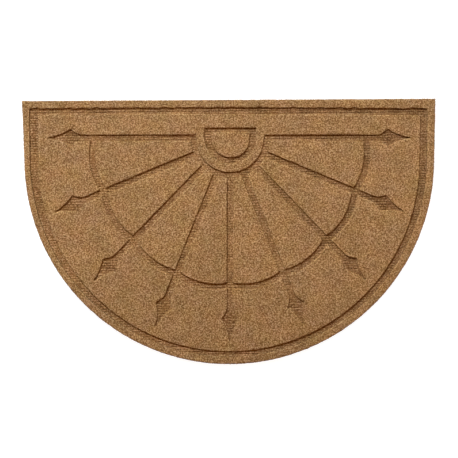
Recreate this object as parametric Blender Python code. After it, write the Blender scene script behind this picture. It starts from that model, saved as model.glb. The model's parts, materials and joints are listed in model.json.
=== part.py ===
# Half-round doormat: one flat piece of stiff punched felt with a moulded surface.
# Metres, +Z up. X runs along the straight edge, +Y points to the straight edge,
# and the origin is under the middle of the mat, on the plane that it lies on.

import math

import bmesh
import bpy
from mathutils import Vector

# Whole mat
WIDTH = 0.9144              # across the two square corners
DEPTH = 0.5842              # straight edge to the crown of the curve, on the middle line
EDGE_SLANT = 0.0026         # how far the straight edge rises at +X and drops at -X
THICKNESS = 0.0095
RIM_CHAMFER = 0.0012        # worn upper corner of the cut edge
CURVE_RADIUS = 0.4534       # outer curve of the mat
CURVE_SHIFT_X = 0.0013      # the curve sits a little off the middle

# Moulded relief
RELIEF = 0.0030             # raised pile stands this far above the sunk floor
DRAFT = 0.0012              # a groove's wall leans back this far over the relief
RIB_PITCH = 0.00566         # ribs of the sunk floor, all parallel and nearly along X
RIB_SLANT = 0.0095          # their rise for each metre towards +X
RIB_HEIGHT = 0.0010

# Border groove, which parts the rim from the field
RIM_WALL = {"x": -0.0005, "y": 0.1621, "radius": 0.4394, "top": 0.2724, "bow": 0.0031, "flare": 0.0013}
FIELD_WALL = {"x": 0.0010, "y": 0.1556, "radius": 0.4213, "top": 0.2569, "bow": 0.0027, "flare": 0.0015}
RIM_CORNER = 0.0056         # rounding of the groove's two square corners
FIELD_CORNER = 0.0022

# Hub of the fan: a raised half disc, a groove round it, a raised collar and the collar's groove
PAD = {"x": 0.0042, "y": 0.2062, "radius": 0.0420, "top": 0.2198, "bow": 0.0, "flare": 0.0}
HUB_WALL = {"x": 0.0037, "y": 0.2077, "radius": 0.0577, "top": 0.2300, "bow": 0.0, "flare": 0.0}
HUB_CORNER = 0.0012
COLLAR = {"x": 0.0033, "y": 0.2055, "radius": 0.0737, "groove": 0.0140}

# Spokes, each ending in a spearhead
FAN_CENTRE = (0.0033, 0.2034)
SPOKE_WIDTH = 0.0146
SPOKE_START = 0.0757        # from the fan's centre, at the collar's wall
LEVEL_SPOKE_RAISE = 0.0042  # the two level spokes lie a little above the fan's centre
TIP_CIRCLE_RADIUS = 0.4026  # the tips lie on a circle about the mat's own curve
TIP_WIDTH = 0.0044
HEAD_LENGTH = 0.0490        # widest point to tip
HEAD_WIDTH = 0.0396
FLARE_LENGTH = 0.0215       # from the plain shaft to the widest point
FLARE_POWER = 1.4
HEAD_POWER = 1.75
FLARE_STEPS = 5
HEAD_STEPS = 8

# Scalloped ring of short curved grooves between the spokes
SCALLOP_WIDTH = 0.0148
SCALLOP_BEND_RADIUS = 0.138
SCALLOP_SHIFT_X = -0.0010   # the ring of scallops sits a little to one side
SCALLOP_STEPS = 8

# One row for each spoke of a half, from the level one down to the middle one
SPOKES = (
    {"fall_deg": 0.0, "scallop_radius": 0.2995},
    {"fall_deg": 22.5, "scallop_radius": 0.2997},
    {"fall_deg": 46.0, "scallop_radius": 0.3072},
    {"fall_deg": 68.3, "scallop_radius": 0.3180},
    {"fall_deg": 90.0, "scallop_radius": 0.3219},
)

# Round stretches
CURVE_STEPS = 64
CORNER_STEPS = 3
TOP_STEPS = 8
HUB_STEPS = 24

# Levels of the cutters
FLOOR_Z = THICKNESS - RELIEF
CUTTER_LOW_Z = FLOOR_Z - 0.0015
CUTTER_HIGH_Z = THICKNESS + 0.0020
RIB_BLOCK_TOP_Z = THICKNESS + 0.0010
RIB_BLOCK_MARGIN = 0.02
ISLAND_MARGIN = 0.0010
SLIVER = 0.00005            # points nearer than this are joined after the cuts

MID_TOP_Y = (DEPTH - EDGE_SLANT) / 2.0
CURVE_CENTRE = Vector((CURVE_SHIFT_X, CURVE_RADIUS - (DEPTH + EDGE_SLANT) / 2.0))


def clear_scene():
    for item in list(bpy.data.objects):
        bpy.data.objects.remove(item, do_unlink=True)


def new_collection(name):
    collection = bpy.data.collections.new(name)
    bpy.context.scene.collection.children.link(collection)
    return collection


def felt_material():
    material = bpy.data.materials.new("brown felt")
    material.use_nodes = True
    shader = material.node_tree.nodes["Principled BSDF"]
    shader.inputs["Base Color"].default_value = (0.36, 0.20, 0.08, 1.0)
    shader.inputs["Roughness"].default_value = 0.95
    shader.inputs["Metallic"].default_value = 0.0
    return material


def add_object(name, bm, collection=None):
    """Turn a finished bmesh into an object, in the scene or in a collection of cutters."""
    bmesh.ops.recalc_face_normals(bm, faces=bm.faces[:])
    mesh = bpy.data.meshes.new(name)
    bm.to_mesh(mesh)
    bm.free()
    item = bpy.data.objects.new(name, mesh)
    if collection is None:
        bpy.context.scene.collection.objects.link(item)
    else:
        collection.objects.link(item)
        item.hide_render = True
        item.display_type = "WIRE"
    return item


def add_boolean(item, name, operation, operand=None, collection=None, solver="EXACT"):
    modifier = item.modifiers.new(name, "BOOLEAN")
    modifier.operation = operation
    modifier.solver = solver
    if collection is None:
        modifier.object = operand
    else:
        modifier.operand_type = "COLLECTION"
        modifier.collection = collection
    return modifier


def wall_offset(z):
    """How far a groove's wall has moved out from its mouth at height z."""
    return (z - THICKNESS) * DRAFT / RELIEF


def arc_points(centre, radius, start, end, steps):
    points = []
    for step in range(steps + 1):
        angle = start + (end - start) * step / steps
        points.append(Vector((centre[0] + radius * math.cos(angle), centre[1] + radius * math.sin(angle))))
    return points


def half_round(wall, offset, corner, curve_steps=CURVE_STEPS):
    """Outline like the mat's own: a curve, two sides, two rounded corners and a bowed top edge."""
    radius = wall["radius"] + offset
    top = wall["top"] + offset
    left = wall["x"] - radius - wall["flare"]
    right = wall["x"] + radius + wall["flare"]
    points = arc_points((wall["x"], wall["y"]), radius, math.pi, 2.0 * math.pi, curve_steps)
    points += arc_points((right - corner, top - corner), corner, 0.0, math.pi / 2.0, CORNER_STEPS)
    run = right - left - 2.0 * corner
    for step in range(1, TOP_STEPS):
        t = step / TOP_STEPS
        bow = wall["bow"] * (1.0 - (2.0 * t - 1.0) ** 2)
        points.append(Vector((right - corner - run * t, top + bow)))
    points += arc_points((left + corner, top - corner), corner, math.pi / 2.0, math.pi, CORNER_STEPS)
    return points


def add_loop(bm, points):
    verts = [bm.verts.new(point) for point in points]
    count = len(verts)
    return [bm.edges.new((verts[i], verts[(i + 1) % count])) for i in range(count)]


def at_height(points, z):
    return [Vector((point.x, point.y, z)) for point in points]


def loft(name, sections, collection):
    """Closed solid through a row of cross-sections, bridged one to the next and capped."""
    bm = bmesh.new()
    loops = [add_loop(bm, section) for section in sections]
    for loop, following in zip(loops, loops[1:]):
        bmesh.ops.bridge_loops(bm, edges=loop + following)
    for loop in (loops[0], loops[-1]):
        bmesh.ops.edgeloop_fill(bm, edges=loop)
    return add_object(name, bm, collection)


def ring_cutter(name, outer, inner, collection, islands):
    """Cutter for a closed groove between two half-round outlines, given as functions of an offset."""
    low = wall_offset(CUTTER_LOW_Z)
    high = wall_offset(CUTTER_HIGH_Z)
    sections = [at_height(outer(low), CUTTER_LOW_Z), at_height(outer(high), CUTTER_HIGH_Z)]
    ring = loft(name, sections, collection)
    below = CUTTER_LOW_Z - ISLAND_MARGIN
    above = CUTTER_HIGH_Z + ISLAND_MARGIN
    sections = [at_height(inner(-wall_offset(z)), z) for z in (below, above)]
    island = loft(f"{name} island", sections, islands)
    add_boolean(ring, "keep island", "DIFFERENCE", operand=island)
    return ring


def groove_section(centre, direction, half_width, run_out):
    """Four corners of a groove's cross-section, low pair first. run_out leans an end wall back."""
    side = Vector((-direction.y, direction.x))
    corners = []
    for z, order in ((CUTTER_LOW_Z, (-1.0, 1.0)), (CUTTER_HIGH_Z, (1.0, -1.0))):
        offset = wall_offset(z)
        for sign in order:
            spot = centre + direction * (run_out * offset) + side * (sign * (half_width + offset))
            corners.append(Vector((spot.x, spot.y, z)))
    return corners


def swept_cutter(name, stations, collection):
    """Cutter for an open groove, lofted through its stations."""
    run_outs = [-1.0] + [0.0] * (len(stations) - 2) + [1.0]
    sections = [groove_section(*station, run_out) for station, run_out in zip(stations, run_outs)]
    return loft(name, sections, collection)


def spoke_row(spoke):
    """Row of a spoke by its number, 0 to 8, from the level one at -X round to the one at +X."""
    half = len(SPOKES) - 1
    return SPOKES[half - abs(spoke - half)]


def spoke_line(spoke):
    """Point and direction of a spoke's centre line."""
    fall_deg = spoke_row(spoke)["fall_deg"]
    fall = math.radians(fall_deg)
    sign = -1.0 if spoke < len(SPOKES) - 1 else 1.0
    centre = Vector(FAN_CENTRE)
    if fall_deg == 0.0:
        centre.y += LEVEL_SPOKE_RAISE
    return centre, Vector((sign * math.cos(fall), -math.sin(fall)))


def tip_distance(centre, direction):
    """Distance along a spoke to the circle that its tip lies on."""
    back = centre - CURVE_CENTRE
    along = back.dot(direction)
    return -along + math.sqrt(along * along - back.length_squared + TIP_CIRCLE_RADIUS ** 2)


def spoke_cutter(spoke, collection):
    centre, direction = spoke_line(spoke)
    tip = tip_distance(centre, direction)
    shaft_half = SPOKE_WIDTH / 2.0
    head_half = HEAD_WIDTH / 2.0
    tip_half = TIP_WIDTH / 2.0
    widest = tip - HEAD_LENGTH
    flare_start = widest - FLARE_LENGTH
    stations = [(centre + direction * SPOKE_START, direction, shaft_half)]
    for step in range(FLARE_STEPS):
        t = step / FLARE_STEPS
        half_width = shaft_half + (head_half - shaft_half) * t ** FLARE_POWER
        stations.append((centre + direction * (flare_start + FLARE_LENGTH * t), direction, half_width))
    for step in range(HEAD_STEPS + 1):
        t = step / HEAD_STEPS
        half_width = tip_half + (head_half - tip_half) * (1.0 - t) ** HEAD_POWER
        stations.append((centre + direction * (widest + HEAD_LENGTH * t), direction, half_width))
    return swept_cutter(f"spoke cutter {spoke}", stations, collection)


def bend_stations(centre, radius, start, end, steps, half_width):
    """Stations of a groove that follows a circle from one angle to another."""
    stations = []
    turn = 1.0 if end > start else -1.0
    for step in range(steps + 1):
        angle = start + (end - start) * step / steps
        out = Vector((math.cos(angle), math.sin(angle)))
        stations.append((centre + out * radius, Vector((-out.y, out.x)) * turn, half_width))
    return stations


def scallop_cutter(gap, collection):
    """Short groove that bulges outwards from one spoke to the next."""
    ends = []
    for spoke in (gap, gap + 1):
        centre, direction = spoke_line(spoke)
        radius = spoke_row(spoke)["scallop_radius"]
        ends.append(centre + direction * radius + Vector((SCALLOP_SHIFT_X, 0.0)))
    chord = ends[1] - ends[0]
    middle = (ends[0] + ends[1]) / 2.0
    inward = (Vector(FAN_CENTRE) - middle).normalized()
    square = Vector((-chord.y, chord.x)).normalized()
    if square.dot(inward) < 0.0:
        square = -square
    bend_centre = middle + square * math.sqrt(SCALLOP_BEND_RADIUS ** 2 - chord.length_squared / 4.0)
    start = math.atan2(ends[0].y - bend_centre.y, ends[0].x - bend_centre.x)
    end = math.atan2(ends[1].y - bend_centre.y, ends[1].x - bend_centre.x)
    if end < start - math.pi:
        end += 2.0 * math.pi
    if end > start + math.pi:
        end -= 2.0 * math.pi
    half_width = SCALLOP_WIDTH / 2.0
    stations = bend_stations(bend_centre, SCALLOP_BEND_RADIUS, start, end, SCALLOP_STEPS, half_width)
    return swept_cutter(f"scallop cutter {gap}", stations, collection)


def border_outer(offset):
    return half_round(RIM_WALL, offset, RIM_CORNER)


def border_inner(offset):
    return half_round(FIELD_WALL, offset, FIELD_CORNER)


def hub_outer(offset):
    return half_round(HUB_WALL, offset, HUB_CORNER, HUB_STEPS)


def hub_inner(offset):
    return half_round(PAD, offset, HUB_CORNER, HUB_STEPS)


def collar_cutter(collection):
    """Groove round the collar, from one level spoke round below the hub to the other."""
    radius = COLLAR["radius"] + COLLAR["groove"] / 2.0
    lift = (FAN_CENTRE[1] + LEVEL_SPOKE_RAISE - COLLAR["y"]) / radius
    centre = Vector((COLLAR["x"], COLLAR["y"]))
    end = 2.0 * math.pi + lift
    stations = bend_stations(centre, radius, math.pi - lift, end, HUB_STEPS, COLLAR["groove"] / 2.0)
    return swept_cutter("collar cutter", stations, collection)


def rib_block(collection):
    """Block with a ribbed underside, which gives the grooves their ribbed floor."""
    reach_x = WIDTH / 2.0 + RIB_BLOCK_MARGIN
    reach_y = DEPTH / 2.0 + RIB_BLOCK_MARGIN
    count = 2 * math.ceil(reach_y / RIB_PITCH)
    bm = bmesh.new()
    profile = []
    for step in range(2 * count + 1):
        y = (step - count) * RIB_PITCH / 2.0 - reach_x * RIB_SLANT
        z = FLOOR_Z + RIB_HEIGHT * (0.5 if step % 2 else -0.5)
        profile.append(bm.verts.new((-reach_x, y, z)))
    profile.append(bm.verts.new((-reach_x, profile[-1].co.y, RIB_BLOCK_TOP_Z)))
    profile.append(bm.verts.new((-reach_x, profile[0].co.y, RIB_BLOCK_TOP_Z)))
    face = bm.faces.new(profile)
    made = bmesh.ops.extrude_face_region(bm, geom=[face])["geom"]
    moved = [item for item in made if isinstance(item, bmesh.types.BMVert)]
    bmesh.ops.translate(bm, verts=moved, vec=(2.0 * reach_x, 2.0 * reach_x * RIB_SLANT, 0.0))
    return add_object("rib block", bm, collection)


def mat_outline():
    """Outer edge of the mat: its curve, two short sides and a slanting straight edge."""
    points = arc_points(CURVE_CENTRE, CURVE_RADIUS, math.pi, 2.0 * math.pi, CURVE_STEPS)
    points.append(Vector((WIDTH / 2.0, MID_TOP_Y + EDGE_SLANT)))
    points.append(Vector((-WIDTH / 2.0, MID_TOP_Y - EDGE_SLANT)))
    return points


def mat_blank():
    """Plain blank of the mat, with its upper edge worn to a small chamfer."""
    bm = bmesh.new()
    face = bm.faces.new([bm.verts.new((point.x, point.y, 0.0)) for point in mat_outline()])
    made = bmesh.ops.extrude_face_region(bm, geom=[face])["geom"]
    top = [item for item in made if isinstance(item, bmesh.types.BMVert)]
    bmesh.ops.translate(bm, verts=top, vec=(0.0, 0.0, THICKNESS))
    edges = [edge for edge in bm.edges if all(vert.co.z > THICKNESS / 2.0 for vert in edge.verts)]
    bmesh.ops.bevel(bm, geom=edges, offset=RIM_CHAMFER, segments=1, profile=0.5, affect="EDGES", material=-1)
    return add_object("mat", bm)


def build_mat():
    cutters = new_collection("groove cutters")
    islands = new_collection("islands")
    for spoke in range(2 * len(SPOKES) - 1):
        spoke_cutter(spoke, cutters)
    for gap in range(2 * len(SPOKES) - 2):
        scallop_cutter(gap, cutters)
    ring_cutter("hub cutter", hub_outer, hub_inner, cutters, islands)
    collar_cutter(cutters)

    network = ring_cutter("border cutter", border_outer, border_inner, islands, islands)
    add_boolean(network, "join grooves", "UNION", collection=cutters)
    # The exact solver drops the raised islands' top faces in the last two cuts
    add_boolean(network, "ribbed floor", "INTERSECT", operand=rib_block(islands), solver="MANIFOLD")

    mat = mat_blank()
    mat.data.materials.append(felt_material())
    add_boolean(mat, "cut grooves", "DIFFERENCE", operand=network, solver="MANIFOLD")
    weld = mat.modifiers.new("join slivers", "WELD")
    weld.merge_threshold = SLIVER
    return mat


def main():
    clear_scene()
    build_mat()


main()
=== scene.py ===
import json
import math

import bmesh
import bpy
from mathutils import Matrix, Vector, kdtree, noise

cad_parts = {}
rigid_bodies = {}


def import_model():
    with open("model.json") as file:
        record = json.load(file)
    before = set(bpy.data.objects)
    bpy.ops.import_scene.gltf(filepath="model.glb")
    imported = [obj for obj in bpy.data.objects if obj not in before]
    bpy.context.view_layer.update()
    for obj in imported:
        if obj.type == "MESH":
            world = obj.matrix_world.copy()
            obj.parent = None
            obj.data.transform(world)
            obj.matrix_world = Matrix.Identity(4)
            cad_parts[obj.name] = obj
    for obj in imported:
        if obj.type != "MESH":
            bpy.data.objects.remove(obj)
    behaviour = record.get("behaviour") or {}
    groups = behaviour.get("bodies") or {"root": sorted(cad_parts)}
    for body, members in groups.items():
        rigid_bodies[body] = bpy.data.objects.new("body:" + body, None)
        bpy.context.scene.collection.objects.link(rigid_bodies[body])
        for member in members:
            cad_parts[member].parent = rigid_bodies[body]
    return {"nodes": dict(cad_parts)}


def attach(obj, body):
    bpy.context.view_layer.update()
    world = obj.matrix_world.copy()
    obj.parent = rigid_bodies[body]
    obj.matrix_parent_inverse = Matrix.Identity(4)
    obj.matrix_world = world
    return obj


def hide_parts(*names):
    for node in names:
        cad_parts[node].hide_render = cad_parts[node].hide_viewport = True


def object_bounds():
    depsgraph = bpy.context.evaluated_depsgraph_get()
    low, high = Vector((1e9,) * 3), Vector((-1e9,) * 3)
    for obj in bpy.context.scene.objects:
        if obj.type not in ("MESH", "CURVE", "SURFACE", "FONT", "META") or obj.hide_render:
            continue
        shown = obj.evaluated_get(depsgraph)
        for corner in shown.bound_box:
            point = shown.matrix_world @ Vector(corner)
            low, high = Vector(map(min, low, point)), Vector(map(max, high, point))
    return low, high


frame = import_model()
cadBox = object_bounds()
scene = bpy.context.scene
topZ = cadBox[1].z

# The felt mat itself: a finely cut copy of the moulded slab
felt = {
    "node": "mat",
    "slot": "brown_felt",
    "mergeWithin": 0.00001,
    "flatWithin": 0.3,          # degrees: flatter edges are dissolved before the cuts
    "relief": 0.0030,           # raised pile above the sunk floor
    "level": 0.9,               # a face points up or down where its normal's Z is past this
    "slope": 0.75,              # and belongs to a wall where it is under this
    "bottom": 0.001,            # lower points belong to the underside
    "floorMargin": 0.0008,      # the sunk floor reaches this far above its level
    "topMargin": 0.0006,        # the raised faces reach this far below the top
    "ribPitch": 0.00566,        # the floor's ribs: valleys at whole pitches, crests between them
    "ribSlant": 0.0095,         # their rise for each metre towards +X
    "crossStep": 0.0036,        # spacing of the cuts across the ribs
    "wallLevels": (0.0031, 0.0080),     # heights of the cuts round the walls
    "snap": 0.0002,             # a cut bends to a corner nearer than this
    "rounding": 0.22,           # softens the mouth of each groove, down to the depth below
    "mouthDepth": 0.0016,
    "sharpFrom": 50.0,          # degrees
    "sideMargin": 0.05,         # the rim reaches the sides within this, and the hub's disc the middle
    "lumps": ((0.0140, 0.00030), (0.0070, 0.00020)),    # size and height of the pile's unevenness
    "edgeWander": (0.0100, 0.00028),                    # size and depth of the cut lines' unevenness
    "rimWall": 0.2724,          # the rim's long inner wall, which wavers more than the others
    "rimWander": (0.0150, 0.0036),      # size and depth
    "rimWanderReach": 0.0090,
    "lean": 0.0010,             # the pile leans this far towards -Y over the grooves, at its top
    "leanReach": 0.0080,        # from the edge of a groove
    "leanFoot": 0.0005,         # above the sunk floor
    "leanLip": 0.0012,          # the edge of a groove reaches this far down
    "leanFacing": 1.4,          # more than 1: walls that face nearly -Y lean fully too
    "leanBlend": 0.0005,
    "leanNeighbours": 6,
    "archCentre": (0.0010, 0.1556),     # of the border's curve
    "leanWithin": 0.4130,       # radius round it; the border's curve doesn't lean
    "ribWander": (0.0240, 0.0016),      # size and width of the ribs' unevenness
    "crownRise": (-0.2450, -0.2680, 0.0008),    # the border's floor rises by the last between these y
    "crownLevels": (0.004, 0.0075),     # only points between these heights rise
}


def mergedCopy(nodeName):
    bm = bmesh.new()
    bm.from_mesh(frame["nodes"][nodeName].data)
    bmesh.ops.remove_doubles(bm, verts=bm.verts[:], dist=felt["mergeWithin"])
    flat = math.radians(felt["flatWithin"])
    bmesh.ops.dissolve_limit(bm, angle_limit=flat, verts=bm.verts[:], edges=bm.edges[:], delimit=set())
    return bm


def cutThrough(bm, faces, place, normal):
    edges = {edge for face in faces for edge in face.edges}
    verts = {vert for face in faces for vert in face.verts}
    geom = list(faces) + list(edges) + list(verts)
    bmesh.ops.bisect_plane(bm, geom=geom, dist=felt["snap"], plane_co=place, plane_no=normal)


def cutAll(bm, place, normal):
    geom = bm.verts[:] + bm.edges[:] + bm.faces[:]
    bmesh.ops.bisect_plane(bm, geom=geom, dist=felt["snap"], plane_co=place, plane_no=normal)


def isSunk(face):
    high = topZ - felt["relief"] + felt["floorMargin"]
    return face.normal.z > felt["level"] and all(felt["bottom"] < vert.co.z < high for vert in face.verts)


def isRaised(face):
    return face.normal.z > felt["slope"] and face.calc_center_median().z > topZ - felt["topMargin"]


def steps(reach, step):
    count = math.ceil(reach / step)
    return [i * step for i in range(-count, count + 1)]


def cutGrid(bm):
    # the underside is taken off before the cuts and filled again as one face
    under = [face for face in bm.faces if face.normal.z < -felt["level"]]
    bmesh.ops.delete(bm, geom=under, context="FACES_ONLY")
    slant = felt["ribSlant"]
    acrossRibs = (-slant, 1.0, 0.0)
    halfPitch = felt["ribPitch"] / 2.0
    for y in steps(cadBox[1].y, halfPitch):
        level = y + halfPitch / 2.0
        near = [face for face in bm.faces if isSunk(face)
                and min(vert.co.y - slant * vert.co.x for vert in face.verts) < level
                and max(vert.co.y - slant * vert.co.x for vert in face.verts) > level]
        if near:
            cutThrough(bm, near, (0.0, level, 0.0), acrossRibs)
    for z in felt["wallLevels"]:
        cutAll(bm, (0.0, 0.0, z), (0.0, 0.0, 1.0))
    for y in steps(cadBox[1].y, halfPitch):
        cutAll(bm, (0.0, y, 0.0), acrossRibs)
    for x in steps(cadBox[1].x, felt["crossStep"]):
        cutAll(bm, (x, 0.0, 0.0), (1.0, 0.0, 0.0))
    bmesh.ops.holes_fill(bm, edges=[edge for edge in bm.edges if edge.is_boundary], sides=0)


def roundMouths(bm):
    mouth = [vert for vert in bm.verts if vert.co.z > topZ - felt["mouthDepth"]
             and any(face.normal.z < felt["slope"] for face in vert.link_faces)]
    bmesh.ops.smooth_vert(bm, verts=mouth, factor=felt["rounding"],
                          use_axis_x=False, use_axis_y=False, use_axis_z=True)


def leanPile(bm, region):
    # the pile hangs a little over the walls that face -Y
    walls = regionNumbers["walls"]
    centre = Vector(felt["archCentre"])
    spots = []
    shares = []
    for vert in bm.verts:
        steep = [face.normal for face in vert.link_faces if face[region] == walls]
        if vert.co.z > topZ - felt["leanLip"] and steep and (vert.co.xy - centre).length < felt["leanWithin"]:
            facing = sum(steep, Vector()).xy.normalized()
            spots.append(vert.co.copy())
            shares.append(min(1.0, max(0.0, -felt["leanFacing"] * facing.y)))
    tree = kdtree.KDTree(len(spots))
    for i, spot in enumerate(spots):
        tree.insert(spot, i)
    tree.balance()
    foot = topZ - felt["relief"] + felt["leanFoot"]
    for vert in bm.verts:
        height = min(1.0, (vert.co.z - foot) / (topZ - foot))
        if height > 0.0:
            near = tree.find_n(vert.co, felt["leanNeighbours"])
            weights = [1.0 / (distance + felt["leanBlend"]) for spot, i, distance in near]
            leaning = sum(shares[found[1]] * weight for found, weight in zip(near, weights))
            share = leaning / sum(weights)
            reach = max(0.0, 1.0 - near[0][2] / felt["leanReach"])
            vert.co.y -= felt["lean"] * height * share * reach


def raiseCrown(bm):
    start, end, rise = felt["crownRise"]
    lowest, highest = felt["crownLevels"]
    for vert in bm.verts:
        if lowest < vert.co.z < highest:
            vert.co.z += rise * min(1.0, max(0.0, (vert.co.y - start) / (end - start)))


def measureRoom(bm, region, room):
    # fibres are shorter on both sides of a wall, so that the grooves stay crisp
    walls = {vert for face in bm.faces if face[region] == regionNumbers["walls"] for vert in face.verts}
    tree = kdtree.KDTree(len(walls))
    for i, vert in enumerate(sorted(walls, key=lambda vert: vert.index)):
        tree.insert(vert.co, i)
    tree.balance()
    whole = [regionNumbers[name] for name in ("under", "edge")]
    for face in bm.faces:
        face[room] = 1.0
        if face[region] == regionNumbers["walls"]:
            face[room] = nap["wallRoom"]
        elif face[region] not in whole:
            least, reach = nap["footRoom" if face[region] == regionNumbers["sunk"] else "mouthRoom"]
            distance = tree.find(face.calc_center_median())[2]
            face[room] = min(1.0, least + (1.0 - least) * distance / reach)


def roughen(bm):
    bm.normal_update()
    wanderSize, wanderDepth = felt["edgeWander"]
    rimSize, rimDepth = felt["rimWander"]
    moves = []
    for vert in bm.verts:
        spot = vert.co
        away = spot / wanderSize
        elsewhere = away + Vector((31.0, 7.0, 3.0))     # so that X and Y waver apart
        move = Vector((noise.noise(away), noise.noise(elsewhere), 0.0)) * wanderDepth
        nearRim = max(0.0, 1.0 - abs(spot.y - felt["rimWall"]) / felt["rimWanderReach"])
        if nearRim:
            move.y += noise.noise(Vector((spot.x / rimSize, 5.0, 0.0))) * rimDepth * nearRim
        if spot.z > felt["bottom"]:
            for size, height in felt["lumps"]:
                move += vert.normal * noise.noise(spot / size) * height
        moves.append(move)
    for vert, move in zip(bm.verts, moves):
        vert.co += move


regionNames = ("under", "fieldLeft", "fieldRight", "fan", "rim", "sunk", "edge", "walls")
regionNumbers = {name: number for number, name in enumerate(regionNames)}
bodyFinishes = {"under": 3, "walls": 2, "sunk": 1}      # material slots, 0 for all else


def patches(faces):
    # groups of faces that share edges, the largest first
    left = set(faces)
    found = []
    while left:
        front = [left.pop()]
        patch = list(front)
        while front:
            face = front.pop()
            for edge in face.edges:
                for other in edge.link_faces:
                    if other in left:
                        left.remove(other)
                        front.append(other)
                        patch.append(other)
        found.append(patch)
    found.sort(key=lambda patch: sum(face.calc_area() for face in patch), reverse=True)
    return found


def markRegions(bm, layer):
    kinds = {"under": [], "sunk": [], "raised": [], "walls": []}
    for face in bm.faces:
        name = "walls"
        if face.normal.z < -felt["level"]:
            name = "under"
        elif isSunk(face):
            name = "sunk"
        elif isRaised(face):
            name = "raised"
        kinds[name].append(face)
    parts = [("under", kinds["under"]), ("sunk", kinds["sunk"])]
    for patch in patches(kinds["walls"]):
        atFloor = min(vert.co.z for face in patch for vert in face.verts) < felt["bottom"]
        parts.append(("edge" if atFloor else "walls", patch))
    islands = patches(kinds["raised"])
    parts.append(("fieldLeft", [face for face in islands[0] if face.calc_center_median().x < 0.0]))
    parts.append(("fieldRight", [face for face in islands[0] if face.calc_center_median().x >= 0.0]))
    margin = felt["sideMargin"]
    for island in islands[1:]:
        # the hub's disc shares the rim's nap
        reach = max(abs(face.calc_center_median().x) for face in island)
        parts.append(("rim" if reach > cadBox[1].x - margin or reach < margin else "fan", island))
    for name, faces in parts:
        for face in faces:
            face[layer] = regionNumbers[name]
            face.material_index = bodyFinishes.get(name, 0)


def makeFelt():
    bm = mergedCopy(felt["node"])
    cutGrid(bm)
    roundMouths(bm)
    region = bm.faces.layers.int.new("region")
    room = bm.faces.layers.float.new("room")
    markRegions(bm, region)
    bm.verts.index_update()
    leanPile(bm, region)
    raiseCrown(bm)
    measureRoom(bm, region, room)
    roughen(bm)
    mesh = bpy.data.meshes.new("mat_felt")
    bm.to_mesh(mesh)
    bm.free()
    mesh.shade_smooth()
    mesh.set_sharp_from_angle(angle=math.radians(felt["sharpFrom"]))
    obj = bpy.data.objects.new("mat_felt", mesh)
    scene.collection.objects.link(obj)
    return obj


# Short fibres that stand out of the felt. Coverage is the area that each one has to itself
nap = {
    "length": 0.0050,
    "width": 0.00044,
    "hump": 0.0009,             # height of the middle above the ends
    "sunkShare": 0.35,          # share of the hump by which the ends lie in the felt
    "curls": (-0.0010, -0.0004, 0.0002, 0.0006, 0.0011),
    "raisedCoverage": 0.0000036,
    "sunkCoverage": 0.0000034,
    "wallCoverage": 0.0000040,
    "edgeCoverage": 0.0000034,
    "lowest": 0.0016,           # above the floor
    "wallRoom": 0.45,           # length of the walls' fibres against the others
    "mouthRoom": (0.30, 0.0030),        # length beside a groove, and how far from it they are whole
    "footRoom": (0.25, 0.0050),         # the same on the floor beside a wall
    "tilt": 16.0,               # degrees
    "alongRibs": 18.0,          # degrees: the floor's fibres turn no further from the ribs
    "sizes": (0.60, 1.35),
    "clump": 0.0030,            # size of the lighter and darker clumps
}


def fibreShape(name, curl):
    # a thin spindle, bent sideways and arched
    bm = bmesh.new()
    bmesh.ops.create_uvsphere(bm, u_segments=3, v_segments=2, radius=1.0)
    for vert in bm.verts:
        along = vert.co.z
        arch = 1.0 - along * along
        side = vert.co.y * nap["width"] / 2.0 + curl * arch
        rise = vert.co.x * nap["width"] / 2.0 + nap["hump"] * (arch - nap["sunkShare"])
        vert.co = Vector((along * nap["length"] / 2.0, side, rise))
    bmesh.ops.recalc_face_normals(bm, faces=bm.faces[:])
    mesh = bpy.data.meshes.new(name)
    bm.to_mesh(mesh)
    bm.free()
    mesh.shade_smooth()
    return bpy.data.objects.new(name, mesh)


def makeFibreShapes():
    shapes = bpy.data.collections.new("fibre shapes")
    for i, curl in enumerate(nap["curls"]):
        shapes.objects.link(fibreShape(f"fibre_{i}", curl))
    return shapes


def addNode(tree, kind, **settings):
    node = tree.nodes.new(kind)
    for key, value in settings.items():
        setattr(node, key, value)
    return node


def ribHeight(tree, place):
    # from 0 in the valleys of the floor's ribs to 1 on their crests
    link = tree.links.new
    across = addNode(tree, "ShaderNodeVectorMath", operation="DOT_PRODUCT")
    link(place, across.inputs[0])
    across.inputs[1].default_value = (-felt["ribSlant"], 1.0, 0.0)
    wanderSize, wanderWidth = felt["ribWander"]
    wander = addNode(tree, "ShaderNodeTexNoise")
    wander.inputs["Scale"].default_value = 1.0 / wanderSize
    link(place, wander.inputs["Vector"])
    centred = addNode(tree, "ShaderNodeMath", operation="SUBTRACT")
    link(wander.outputs[0], centred.inputs[0])
    centred.inputs[1].default_value = 0.5
    moved = addNode(tree, "ShaderNodeMath", operation="MULTIPLY_ADD")
    link(centred.outputs[0], moved.inputs[0])
    moved.inputs[1].default_value = wanderWidth
    link(across.outputs["Value"], moved.inputs[2])
    phase = addNode(tree, "ShaderNodeMath", operation="MULTIPLY")
    link(moved.outputs[0], phase.inputs[0])
    phase.inputs[1].default_value = 2.0 * math.pi / felt["ribPitch"]
    wave = addNode(tree, "ShaderNodeMath", operation="COSINE")
    link(phase.outputs[0], wave.inputs[0])
    height = addNode(tree, "ShaderNodeMath", operation="MULTIPLY_ADD")
    link(wave.outputs[0], height.inputs[0])
    height.inputs[1].default_value = -0.5
    height.inputs[2].default_value = 0.5
    return height.outputs[0]


def onRibs(tree, density):
    # none in the valleys and twice as many on the crests
    place = addNode(tree, "GeometryNodeInputPosition")
    share = addNode(tree, "ShaderNodeMath", operation="MULTIPLY")
    tree.links.new(ribHeight(tree, place.outputs["Position"]), share.inputs[0])
    share.inputs[1].default_value = density * 2.0
    return share.outputs[0]


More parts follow.
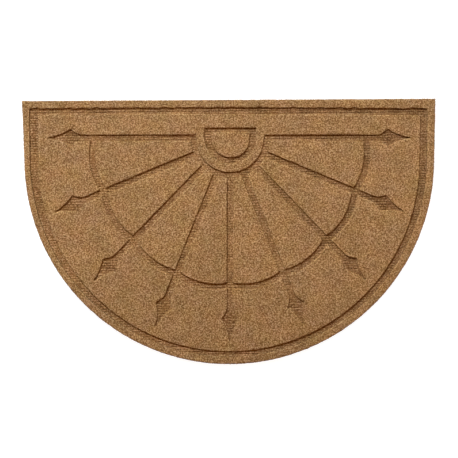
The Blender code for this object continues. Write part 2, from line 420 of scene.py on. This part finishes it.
def aboveFloor(tree, density):
    # none so low that it would reach the floor
    place = addNode(tree, "GeometryNodeInputPosition")
    split = addNode(tree, "ShaderNodeSeparateXYZ")
    tree.links.new(place.outputs["Position"], split.inputs["Vector"])
    high = addNode(tree, "ShaderNodeMath", operation="GREATER_THAN")
    tree.links.new(split.outputs["Z"], high.inputs[0])
    high.inputs[1].default_value = nap["lowest"]
    share = addNode(tree, "ShaderNodeMath", operation="MULTIPLY")
    tree.links.new(high.outputs[0], share.inputs[0])
    share.inputs[1].default_value = density
    return share.outputs[0]


def napTree(name, source, shapes, region, coverage, spin, seed, material):
    tree = bpy.data.node_groups.new(name, "GeometryNodeTree")
    tree.interface.new_socket(name="Geometry", in_out="INPUT", socket_type="NodeSocketGeometry")
    tree.interface.new_socket(name="Geometry", in_out="OUTPUT", socket_type="NodeSocketGeometry")
    link = tree.links.new
    out = addNode(tree, "NodeGroupOutput")
    body = addNode(tree, "GeometryNodeObjectInfo")
    body.inputs["Object"].default_value = source
    place = addNode(tree, "GeometryNodeInputNamedAttribute", data_type="INT")
    place.inputs["Name"].default_value = "region"
    here = addNode(tree, "FunctionNodeCompare", data_type="INT", operation="EQUAL")
    link(place.outputs["Attribute"], here.inputs[2])
    here.inputs[3].default_value = region
    scatter = addNode(tree, "GeometryNodeDistributePointsOnFaces")
    link(body.outputs["Geometry"], scatter.inputs["Mesh"])
    link(here.outputs["Result"], scatter.inputs["Selection"])
    scatter.inputs["Density"].default_value = 1.0 / coverage
    if region == regionNumbers["sunk"]:
        link(onRibs(tree, 1.0 / coverage), scatter.inputs["Density"])
    if region == regionNumbers["edge"]:
        link(aboveFloor(tree, 1.0 / coverage), scatter.inputs["Density"])
    scatter.inputs["Seed"].default_value = seed
    upright = addNode(tree, "FunctionNodeAlignRotationToVector", axis="Z")
    link(scatter.outputs["Normal"], upright.inputs["Vector"])
    turn = addNode(tree, "FunctionNodeRandomValue", data_type="FLOAT_VECTOR")
    tilt = math.radians(nap["tilt"])
    turn.inputs[0].default_value = (-tilt, -tilt, -spin)
    turn.inputs[1].default_value = (tilt, tilt, spin)
    turn.inputs["Seed"].default_value = seed + 1
    toRotation = addNode(tree, "FunctionNodeEulerToRotation")
    link(turn.outputs[0], toRotation.inputs["Euler"])
    rotate = addNode(tree, "FunctionNodeRotateRotation", rotation_space="LOCAL")
    link(upright.outputs["Rotation"], rotate.inputs["Rotation"])
    link(toRotation.outputs["Rotation"], rotate.inputs["Rotate By"])
    pieces = addNode(tree, "GeometryNodeCollectionInfo")
    pieces.inputs["Collection"].default_value = shapes
    pieces.inputs["Separate Children"].default_value = True
    pieces.inputs["Reset Children"].default_value = True
    pick = addNode(tree, "FunctionNodeRandomValue", data_type="INT")
    pick.inputs[4].default_value = 0
    pick.inputs[5].default_value = len(shapes.objects) - 1
    pick.inputs["Seed"].default_value = seed + 2
    size = addNode(tree, "FunctionNodeRandomValue", data_type="FLOAT")
    size.inputs[2].default_value, size.inputs[3].default_value = nap["sizes"]
    size.inputs["Seed"].default_value = seed + 3
    room = addNode(tree, "GeometryNodeInputNamedAttribute", data_type="FLOAT")
    room.inputs["Name"].default_value = "room"
    shorter = addNode(tree, "ShaderNodeCombineXYZ")
    shorter.inputs["Y"].default_value = 1.0
    link(room.outputs["Attribute"], shorter.inputs["X"])
    link(room.outputs["Attribute"], shorter.inputs["Z"])
    grown = addNode(tree, "ShaderNodeVectorMath", operation="SCALE")
    link(shorter.outputs[0], grown.inputs[0])
    link(size.outputs[1], grown.inputs["Scale"])
    plant = addNode(tree, "GeometryNodeInstanceOnPoints")
    link(scatter.outputs["Points"], plant.inputs["Points"])
    link(pieces.outputs["Instances"], plant.inputs["Instance"])
    plant.inputs["Pick Instance"].default_value = True
    link(pick.outputs[2], plant.inputs["Instance Index"])
    link(rotate.outputs["Rotation"], plant.inputs["Rotation"])
    link(grown.outputs[0], plant.inputs["Scale"])
    tone = addNode(tree, "FunctionNodeRandomValue", data_type="FLOAT")
    tone.inputs["Seed"].default_value = seed + 4
    store = addNode(tree, "GeometryNodeStoreNamedAttribute", data_type="FLOAT", domain="INSTANCE")
    store.inputs["Name"].default_value = "tone"
    link(plant.outputs["Instances"], store.inputs["Geometry"])
    link(tone.outputs[1], store.inputs["Value"])
    real = addNode(tree, "GeometryNodeRealizeInstances")
    link(store.outputs["Geometry"], real.inputs["Geometry"])
    dress = addNode(tree, "GeometryNodeSetMaterial")
    dress.inputs["Material"].default_value = material
    link(real.outputs["Geometry"], dress.inputs["Geometry"])
    link(dress.outputs["Geometry"], out.inputs["Geometry"])
    return tree


def growNap(name, source, shapes, region, coverage, spin, seed, material):
    obj = bpy.data.objects.new(name, bpy.data.meshes.new(name))
    scene.collection.objects.link(obj)
    grow = obj.modifiers.new("grow nap", "NODES")
    grow.node_group = napTree(name, source, shapes, regionNumbers[region], coverage, spin, seed, material)
    shown = obj.evaluated_get(bpy.context.evaluated_depsgraph_get())
    mesh = bpy.data.meshes.new_from_object(shown)
    for vert in mesh.vertices:
        vert.co.z = max(vert.co.z, 0.0)     # none reaches into the floor
    obj.modifiers.clear()
    obj.data = mesh
    mesh.name = name
    mesh.shade_smooth()
    print(name, "triangles", sum(len(face.vertices) - 2 for face in mesh.polygons))
    return obj


# The felt's colours and painted shade, shared by the mat and its nap
heather = {
    "clumpShare": 0.60,         # how much of the tone comes from clumps, and the rest from fibres
    "clumpRange": (0.37, 0.63),
    "stops": (                  # from the darkest fibres to the palest
        (0.00, (0.046, 0.0145, 0.0025)),
        (0.33, (0.200, 0.086, 0.0235)),
        (0.66, (0.378, 0.203, 0.076)),
        (1.00, (0.655, 0.432, 0.220)),
    ),
    "shadeUnderNap": 0.72,          # painted shade of the gaps between the fibres, on the felt under the nap
    "underShade": 0.60,
    "sunkShade": 1.00,
    "sunkTint": (1.045, 1.0, 1.02),
    "wallFoot": (0.43, 0.26, 0.04),     # painted shade of the walls at the floor and at the top
    "wallMouth": (0.75, 0.70, 0.56),
    "rimShade": (0.424, 0.430, 0.64),   # painted shade: between these radii round archCentre the walls darken to the last
    "valleyShade": (0.38, 0.82),        # painted shade between the ribs of the floor, which varies between these
    "valleyRange": (0.35, 0.65),
    "valleyPatch": 0.045,       # size of the places where it does
    "valleyPowers": (0.86, 1.0, 1.40),  # for red, green and blue, so that the painted shade in the valleys is warmer
    "floorShadeEast": (-0.08, 0.42, 0.79),     # painted shade: from the first x to the second the floor darkens to the last
    "patch": 0.036,             # size of the slow change in tone, and its strength in shade and in hue
    "patchShade": 0.35,
    "patchHue": (0.10, 0.10, 0.44),
    "strandWidth": 0.0009,
    "strandLength": 0.0060,
    "strandEdge": 0.14,
    "strandTurns": (8.0, 55.0, 98.0, 141.0),
    "strandBend": (180.0, 0.006),       # scale and strength of the noise that bends them
    "roughness": 0.92,
    "specular": 0.20,
    "bump": (0.8, 0.0005),
}


def socket(group, name, kind, way="INPUT"):
    group.interface.new_socket(name=name, in_out=way, socket_type=kind)


def mapRange(tree, value, start, end, low=0.0, high=1.0):
    node = addNode(tree, "ShaderNodeMapRange")
    for name, number in (("From Min", start), ("From Max", end), ("To Min", low), ("To Max", high)):
        node.inputs[name].default_value = number
    tree.links.new(value, node.inputs["Value"])
    return node


def makeHeather():
    group = bpy.data.node_groups.new("heather", "ShaderNodeTree")
    socket(group, "Tone", "NodeSocketFloat")
    socket(group, "Clump Size", "NodeSocketFloat")
    socket(group, "Clump Share", "NodeSocketFloat")
    socket(group, "Color", "NodeSocketColor", "OUTPUT")
    link = group.links.new
    given = addNode(group, "NodeGroupInput")
    out = addNode(group, "NodeGroupOutput")
    place = addNode(group, "ShaderNodeTexCoord")
    inverse = addNode(group, "ShaderNodeMath", operation="DIVIDE")
    inverse.inputs[0].default_value = 1.0
    link(given.outputs["Clump Size"], inverse.inputs[1])
    clump = addNode(group, "ShaderNodeTexNoise")
    clump.inputs["Detail"].default_value = 2.0
    clump.inputs["Roughness"].default_value = 0.6
    link(place.outputs["Object"], clump.inputs["Vector"])
    link(inverse.outputs[0], clump.inputs["Scale"])
    stretch = mapRange(group, clump.outputs[0], *heather["clumpRange"])
    blend = addNode(group, "ShaderNodeMix", data_type="FLOAT")
    link(given.outputs["Clump Share"], blend.inputs["Factor"])
    link(given.outputs["Tone"], blend.inputs["A"])
    link(stretch.outputs["Result"], blend.inputs["B"])
    ramp = addNode(group, "ShaderNodeValToRGB")
    elements = ramp.color_ramp.elements
    for i, (at, colour) in enumerate(heather["stops"]):
        stop = elements[i] if i < 2 else elements.new(at)       # a new ramp has two stops
        stop.position = at
        stop.color = (*colour, 1.0)
    link(blend.outputs["Result"], ramp.inputs["Fac"])
    patch = addNode(group, "ShaderNodeTexNoise")
    patch.inputs["Scale"].default_value = 1.0 / heather["patch"]
    patch.inputs["Detail"].default_value = 2.0
    link(place.outputs["Object"], patch.inputs["Vector"])
    hue = addNode(group, "ShaderNodeVectorMath", operation="MULTIPLY_ADD")
    link(patch.outputs["Color"], hue.inputs[0])
    hue.inputs[1].default_value = heather["patchHue"]
    hue.inputs[2].default_value = [1.0 - part / 2.0 for part in heather["patchHue"]]
    shade = addNode(group, "ShaderNodeMath", operation="MULTIPLY_ADD")
    link(patch.outputs[0], shade.inputs[0])
    shade.inputs[1].default_value = heather["patchShade"]
    shade.inputs[2].default_value = -heather["patchShade"] / 2.0
    change = addNode(group, "ShaderNodeVectorMath", operation="ADD")
    link(hue.outputs[0], change.inputs[0])
    link(shade.outputs[0], change.inputs[1])
    patched = addNode(group, "ShaderNodeVectorMath", operation="MULTIPLY")
    link(ramp.outputs["Color"], patched.inputs[0])
    link(change.outputs[0], patched.inputs[1])
    link(patched.outputs[0], out.inputs["Color"])
    return group


def makeStrands():
    # matted fibres: thin streaks laid in several directions, each bent by a slow noise
    group = bpy.data.node_groups.new("matted strands", "ShaderNodeTree")
    socket(group, "Strand Width", "NodeSocketFloat")
    socket(group, "Strand Length", "NodeSocketFloat")
    socket(group, "Height", "NodeSocketFloat", "OUTPUT")
    link = group.links.new
    given = addNode(group, "NodeGroupInput")
    out = addNode(group, "NodeGroupOutput")
    place = addNode(group, "ShaderNodeTexCoord")
    bendScale, bendStrength = heather["strandBend"]
    bend = addNode(group, "ShaderNodeTexNoise")
    bend.inputs["Scale"].default_value = bendScale
    link(place.outputs["Object"], bend.inputs["Vector"])
    push = addNode(group, "ShaderNodeVectorMath", operation="SCALE")
    link(bend.outputs["Color"], push.inputs[0])
    push.inputs["Scale"].default_value = bendStrength
    bent = addNode(group, "ShaderNodeVectorMath", operation="ADD")
    link(place.outputs["Object"], bent.inputs[0])
    link(push.outputs[0], bent.inputs[1])
    size = addNode(group, "ShaderNodeCombineXYZ")
    link(given.outputs["Strand Length"], size.inputs["X"])
    link(given.outputs["Strand Width"], size.inputs["Y"])
    link(given.outputs["Strand Width"], size.inputs["Z"])
    nearest = None
    for degrees in heather["strandTurns"]:
        turn = addNode(group, "ShaderNodeVectorRotate", rotation_type="Z_AXIS")
        turn.inputs["Angle"].default_value = math.radians(degrees)
        link(bent.outputs[0], turn.inputs["Vector"])
        scaled = addNode(group, "ShaderNodeVectorMath", operation="DIVIDE")
        link(turn.outputs[0], scaled.inputs[0])
        link(size.outputs[0], scaled.inputs[1])
        streak = addNode(group, "ShaderNodeTexNoise")
        streak.inputs["Scale"].default_value = 1.0
        streak.inputs["Detail"].default_value = 0.0
        link(scaled.outputs[0], streak.inputs["Vector"])
        off = addNode(group, "ShaderNodeMath", operation="SUBTRACT")
        link(streak.outputs[0], off.inputs[0])
        off.inputs[1].default_value = 0.5
        away = addNode(group, "ShaderNodeMath", operation="ABSOLUTE")
        link(off.outputs[0], away.inputs[0])
        if nearest is None:
            nearest = away.outputs[0]
            continue
        pick = addNode(group, "ShaderNodeMath", operation="MINIMUM")
        link(nearest, pick.inputs[0])
        link(away.outputs[0], pick.inputs[1])
        nearest = pick.outputs[0]
    spread = mapRange(group, nearest, 0.0, heather["strandEdge"], 1.0, 0.0)
    link(spread.outputs["Result"], out.inputs["Height"])
    return group


def makeRibs():
    # painted shade: darker and warmer between the ribs of the floor, and darker towards +X
    group = bpy.data.node_groups.new("painted floor shade", "ShaderNodeTree")
    socket(group, "Color", "NodeSocketColor")
    socket(group, "Darkest Valley", "NodeSocketFloat")
    socket(group, "Palest Valley", "NodeSocketFloat")
    socket(group, "Color", "NodeSocketColor", "OUTPUT")
    link = group.links.new
    given = addNode(group, "NodeGroupInput")
    out = addNode(group, "NodeGroupOutput")
    place = addNode(group, "ShaderNodeTexCoord")
    patch = addNode(group, "ShaderNodeTexNoise")
    patch.inputs["Scale"].default_value = 1.0 / heather["valleyPatch"]
    link(place.outputs["Object"], patch.inputs["Vector"])
    valley = mapRange(group, patch.outputs[0], *heather["valleyRange"])
    link(given.outputs["Darkest Valley"], valley.inputs["To Min"])
    link(given.outputs["Palest Valley"], valley.inputs["To Max"])
    shade = mapRange(group, ribHeight(group, place.outputs["Object"]), 0.0, 1.0)
    link(valley.outputs["Result"], shade.inputs["To Min"])
    split = addNode(group, "ShaderNodeSeparateXYZ")
    link(place.outputs["Object"], split.inputs[0])
    # painted shade, darker towards +X
    start, end, least = heather["floorShadeEast"]
    eastShade = mapRange(group, split.outputs["X"], start, end, 1.0, least)
    parts = addNode(group, "ShaderNodeCombineXYZ")
    for name, power in zip(("X", "Y", "Z"), heather["valleyPowers"]):
        part = addNode(group, "ShaderNodeMath", operation="POWER")
        link(shade.outputs["Result"], part.inputs[0])
        part.inputs[1].default_value = power
        link(part.outputs[0], parts.inputs[name])
    tinted = addNode(group, "ShaderNodeVectorMath", operation="MULTIPLY")
    link(given.outputs["Color"], tinted.inputs[0])
    link(parts.outputs[0], tinted.inputs[1])
    dim = addNode(group, "ShaderNodeVectorMath", operation="SCALE")
    link(tinted.outputs[0], dim.inputs[0])
    link(eastShade.outputs["Result"], dim.inputs["Scale"])
    link(dim.outputs[0], out.inputs["Color"])
    return group


def makeDepth():
    # painted shade: darker and redder towards the foot of a wall, and darker on the rim's
    group = bpy.data.node_groups.new("painted wall shade", "ShaderNodeTree")
    socket(group, "Color", "NodeSocketColor")
    socket(group, "Foot", "NodeSocketColor")
    socket(group, "Mouth", "NodeSocketColor")
    socket(group, "Color", "NodeSocketColor", "OUTPUT")
    link = group.links.new
    given = addNode(group, "NodeGroupInput")
    out = addNode(group, "NodeGroupOutput")
    place = addNode(group, "ShaderNodeTexCoord")
    split = addNode(group, "ShaderNodeSeparateXYZ")
    link(place.outputs["Object"], split.inputs[0])
    height = mapRange(group, split.outputs["Z"], topZ - felt["relief"], topZ)
    shade = addNode(group, "ShaderNodeMix", data_type="RGBA")
    link(height.outputs["Result"], shade.inputs["Factor"])
    link(given.outputs["Foot"], shade.inputs["A"])
    link(given.outputs["Mouth"], shade.inputs["B"])
    level = addNode(group, "ShaderNodeCombineXYZ")
    link(split.outputs["X"], level.inputs["X"])
    link(split.outputs["Y"], level.inputs["Y"])
    reach = addNode(group, "ShaderNodeVectorMath", operation="DISTANCE")
    reach.inputs[1].default_value = (*felt["archCentre"], 0.0)
    link(level.outputs[0], reach.inputs[0])
    nearer, farther, least = heather["rimShade"]
    rim = mapRange(group, reach.outputs["Value"], nearer, farther, 1.0, least)
    outer = addNode(group, "ShaderNodeVectorMath", operation="SCALE")
    link(shade.outputs["Result"], outer.inputs[0])
    link(rim.outputs["Result"], outer.inputs["Scale"])
    dim = addNode(group, "ShaderNodeMix", data_type="RGBA", blend_type="MULTIPLY")
    dim.inputs["Factor"].default_value = 1.0
    link(given.outputs["Color"], dim.inputs["A"])
    link(outer.outputs["Vector"], dim.inputs["B"])
    link(dim.outputs["Result"], out.inputs["Color"])
    return group


def feltMaterial(name, groups, onFibres, shade, tint=(1.0, 1.0, 1.0), ribbed=False, onWall=False):
    material = bpy.data.materials.new(name)
    material.use_nodes = True
    tree = material.node_tree
    link = tree.links.new
    shader = tree.nodes["Principled BSDF"]
    shader.inputs["Roughness"].default_value = heather["roughness"]
    shader.inputs["Specular IOR Level"].default_value = heather["specular"]
    mottle = addNode(tree, "ShaderNodeGroup")
    mottle.node_tree = groups["heather"]
    mottle.inputs["Clump Size"].default_value = nap["clump"]
    mottle.inputs["Clump Share"].default_value = heather["clumpShare"]
    dim = addNode(tree, "ShaderNodeMix", data_type="RGBA", blend_type="MULTIPLY")
    dim.inputs["Factor"].default_value = 1.0
    dim.inputs["B"].default_value = (*[shade * part for part in tint], 1.0)
    link(mottle.outputs["Color"], dim.inputs["A"])
    colour = dim.outputs["Result"]
    if ribbed:
        ribs = addNode(tree, "ShaderNodeGroup")
        ribs.node_tree = groups["ribs"]
        darkest, palest = heather["valleyShade"]
        ribs.inputs["Darkest Valley"].default_value = darkest
        ribs.inputs["Palest Valley"].default_value = palest
        link(colour, ribs.inputs["Color"])
        colour = ribs.outputs["Color"]
    if onWall:
        depth = addNode(tree, "ShaderNodeGroup")
        depth.node_tree = groups["depth"]
        depth.inputs["Foot"].default_value = (*heather["wallFoot"], 1.0)
        depth.inputs["Mouth"].default_value = (*heather["wallMouth"], 1.0)
        link(colour, depth.inputs["Color"])
        colour = depth.outputs["Color"]
    link(colour, shader.inputs["Base Color"])
    if onFibres:
        tone = addNode(tree, "ShaderNodeAttribute", attribute_name="tone")
        link(tone.outputs["Fac"], mottle.inputs["Tone"])
        return material
    strands = addNode(tree, "ShaderNodeGroup")
    strands.node_tree = groups["strands"]
    strands.inputs["Strand Width"].default_value = heather["strandWidth"]
    strands.inputs["Strand Length"].default_value = heather["strandLength"]
    link(strands.outputs["Height"], mottle.inputs["Tone"])
    strength, distance = heather["bump"]
    bump = addNode(tree, "ShaderNodeBump")
    bump.inputs["Strength"].default_value = strength
    bump.inputs["Distance"].default_value = distance
    link(strands.outputs["Height"], bump.inputs["Height"])
    link(bump.outputs["Normal"], shader.inputs["Normal"])
    return material


studio = {
    "pictureWidth": 1.01305,    # metres across the whole picture, on the pile's level
    "aim": (0.00077, 0.00531),
    "lens": 100.0,
    "sensor": 36.0,
    "key": {
        "turn": 112.0,          # degrees round from +X
        "rise": 33.0,           # degrees above the floor
        "distance": 6.5,
        "size": (0.9, 0.9),
        "spread": 180.0,
        "power": 1050.0,
        "aim": 0.0,             # it looks at this y
        "colour": (0.710, 0.878, 1.0),
    },
    "fill": {
        "turn": 90.0,
        "rise": 55.0,
        "distance": 1.4,
        "size": (3.0, 0.4),
        "spread": 35.0,
        "power": 2.5,
        "aim": 0.06,
        "colour": (1.0, 1.0, 1.0),
    },
    "skyColour": (1.65, 0.74, 0.10),
    "skyStrength": 0.26,
    "floorSize": 14.0,
    "floorDrop": 0.0002,        # below the mat
    "floorTone": 0.20,
    "floorGlow": 0.97,
}


def makeCamera():
    data = bpy.data.cameras.new("camera")
    data.lens = studio["lens"]
    data.sensor_width = studio["sensor"]
    data.clip_start = 0.05
    data.clip_end = 50.0
    obj = bpy.data.objects.new("camera", data)
    scene.collection.objects.link(obj)
    height = studio["pictureWidth"] * studio["lens"] / studio["sensor"]
    obj.location = (studio["aim"][0], studio["aim"][1], topZ + height)
    scene.camera = obj


def makeLight(name, plan):
    turn = math.radians(plan["turn"])
    rise = math.radians(plan["rise"])
    away = Vector((math.cos(rise) * math.cos(turn), math.cos(rise) * math.sin(turn), math.sin(rise)))
    data = bpy.data.lights.new(name, "AREA")
    data.shape = "RECTANGLE"
    data.size, data.size_y = plan["size"]
    data.spread = math.radians(plan["spread"])
    data.energy = plan["power"]
    data.color = plan["colour"]
    obj = bpy.data.objects.new(name, data)
    scene.collection.objects.link(obj)
    obj.location = away * plan["distance"] + Vector((0.0, plan["aim"], 0.0))
    obj.rotation_euler = away.to_track_quat("Z", "Y").to_euler()
    obj.visible_camera = False


def makeLights():
    makeLight("key light", studio["key"])
    makeLight("fill light", studio["fill"])
    world = bpy.data.worlds.new("studio sky")
    world.use_nodes = True
    sky = world.node_tree.nodes["Background"]
    sky.inputs["Color"].default_value = (*studio["skyColour"], 1.0)
    sky.inputs["Strength"].default_value = studio["skyStrength"]
    scene.world = world


def makeFloor():
    bm = bmesh.new()
    bmesh.ops.create_grid(bm, x_segments=1, y_segments=1, size=studio["floorSize"] / 2.0)
    mesh = bpy.data.meshes.new("floor")
    bm.to_mesh(mesh)
    bm.free()
    obj = bpy.data.objects.new("floor", mesh)
    scene.collection.objects.link(obj)
    obj.location.z = -studio["floorDrop"]
    material = bpy.data.materials.new("pale floor")
    material.use_nodes = True
    shader = material.node_tree.nodes["Principled BSDF"]
    shader.inputs["Base Color"].default_value = (*[studio["floorTone"]] * 3, 1.0)
    shader.inputs["Roughness"].default_value = 0.9
    shader.inputs["Specular IOR Level"].default_value = 0.0
    shader.inputs["Emission Color"].default_value = (1.0, 1.0, 1.0, 1.0)
    shader.inputs["Emission Strength"].default_value = studio["floorGlow"]
    mesh.materials.append(material)


print("camera, lights and floor")
makeCamera()
makeLights()
makeFloor()
scene.view_settings.view_transform = "Standard"

print("materials")
groups = {"heather": makeHeather(), "strands": makeStrands(), "ribs": makeRibs(), "depth": makeDepth()}
shadeUnderNap = heather["shadeUnderNap"]
sunkShade = heather["sunkShade"]
sunkTint = heather["sunkTint"]
# the wall copies, felt and fibres, carry painted shade towards their foot; the floor copies carry painted
# shade between the ribs and towards +X
bodyMaterials = [
    feltMaterial("raised felt", groups, False, shadeUnderNap),
    feltMaterial("floor felt", groups, False, shadeUnderNap * sunkShade, sunkTint, ribbed=True),
    feltMaterial("wall felt", groups, False, shadeUnderNap, onWall=True),
    feltMaterial("felt underside", groups, False, heather["underShade"]),
]
raisedFibres = feltMaterial("raised fibres", groups, True, 1.0)
floorFibres = feltMaterial("floor fibres", groups, True, sunkShade, sunkTint, ribbed=True)
wallFibres = feltMaterial("wall fibres", groups, True, 1.0, onWall=True)

print("felt mat")
matFelt = makeFelt()
for material in bodyMaterials:
    matFelt.data.materials.append(material)
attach(matFelt, "root")
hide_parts(felt["node"])
print("mat_felt triangles", sum(len(face.vertices) - 2 for face in matFelt.data.polygons))

print("nap")
shapes = makeFibreShapes()
everyWay = math.pi
alongRibs = math.radians(nap["alongRibs"])
raised = nap["raisedCoverage"]
naps = [
    growNap("field_nap_left", matFelt, shapes, "fieldLeft", raised, everyWay, 11, raisedFibres),
    growNap("field_nap_right", matFelt, shapes, "fieldRight", raised, everyWay, 21, raisedFibres),
    growNap("fan_nap", matFelt, shapes, "fan", raised, everyWay, 31, raisedFibres),
    growNap("rim_nap", matFelt, shapes, "rim", raised, everyWay, 41, raisedFibres),
    growNap("groove_nap", matFelt, shapes, "sunk", nap["sunkCoverage"], alongRibs, 51, floorFibres),
    growNap("edge_nap", matFelt, shapes, "edge", nap["edgeCoverage"], everyWay, 61, raisedFibres),
    growNap("wall_nap", matFelt, shapes, "walls", nap["wallCoverage"], everyWay, 71, wallFibres),
]
for piece in naps:
    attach(piece, "root")
for shape in list(shapes.objects):
    bpy.data.objects.remove(shape)
bpy.data.collections.remove(shapes)
